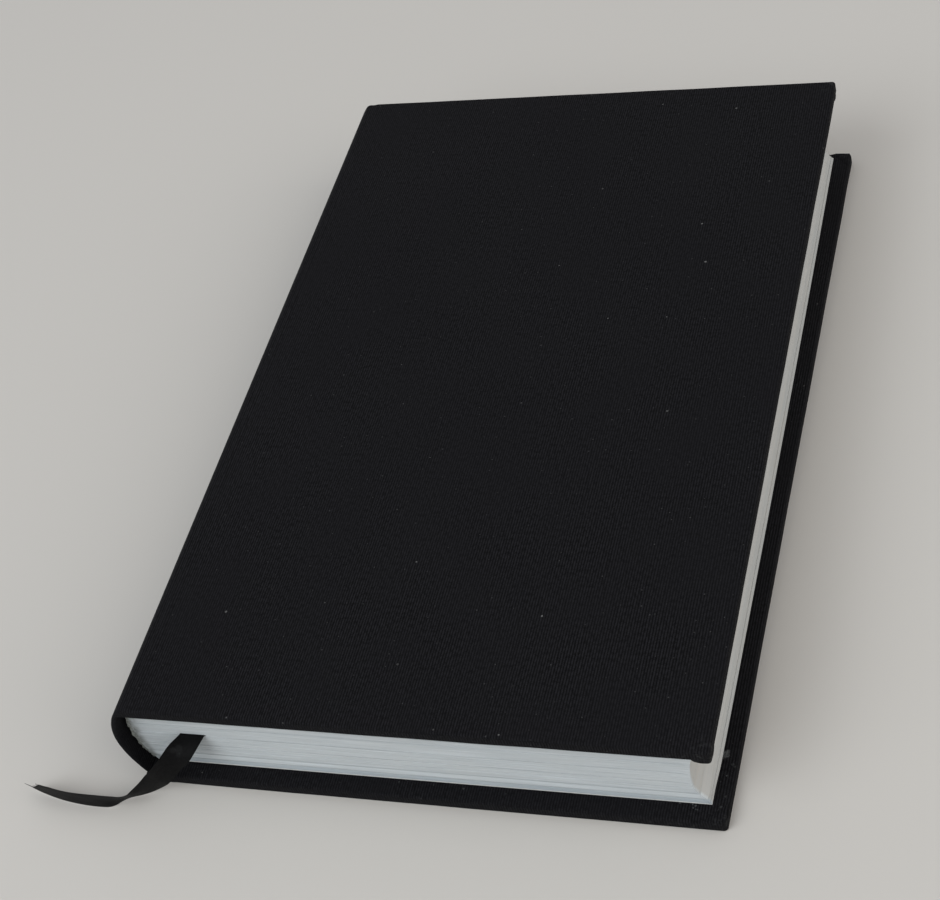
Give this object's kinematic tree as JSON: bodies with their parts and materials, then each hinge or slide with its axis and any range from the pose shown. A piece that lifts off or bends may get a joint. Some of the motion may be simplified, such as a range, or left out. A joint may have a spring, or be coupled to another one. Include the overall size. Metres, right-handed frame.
{
  "type": "hardcover book",
  "caption": "Closed case-bound book in black ribbed cloth with a rounded spine, hinged covers, white leaves and a ribbon marker out of the tail.",
  "frame": {"origin": "under the middle of the closed case, on the surface that it lies on", "axes": "+X from the spine to the fore-edge, +Y from the tail to the head, +Z from the back cover to the front cover"},
  "size_m": [0.1514, 0.1985, 0.026],
  "materials": {
    "cover_cloth": "matt fine-ribbed book cloth",
    "board": "grey binder's board",
    "leaves": "uncoated paper edges",
    "endpaper": "uncoated paper",
    "lining": "glued grey lining paper",
    "ribbon": "satin ribbon"
  },
  "bodies": {
    "text_block": {"page_block": "leaves", "spine_lining": "lining", "spine_strip": "board", "spine_cloth": "cover_cloth", "ribbon_marker": "ribbon"},
    "front_cover": {"front_board": "board", "front_cover_cloth": "cover_cloth", "front_pastedown": "endpaper"},
    "back_cover": {"back_board": "board", "back_cover_cloth": "cover_cloth", "back_pastedown": "endpaper"}
  },
  "joints": [
    {"name": "front_cover_hinge", "type": "hinge", "parent": "text_block", "child": "front_cover", "pos_m": [-0.05701, 0, 0.026], "axis": [0, -1, 0], "range_deg": [0, 178]},
    {"name": "back_cover_hinge", "type": "hinge", "parent": "text_block", "child": "back_cover", "pos_m": [-0.05701, 0, 0], "axis": [0, 1, 0], "range_deg": [0, 178]}
  ]
}
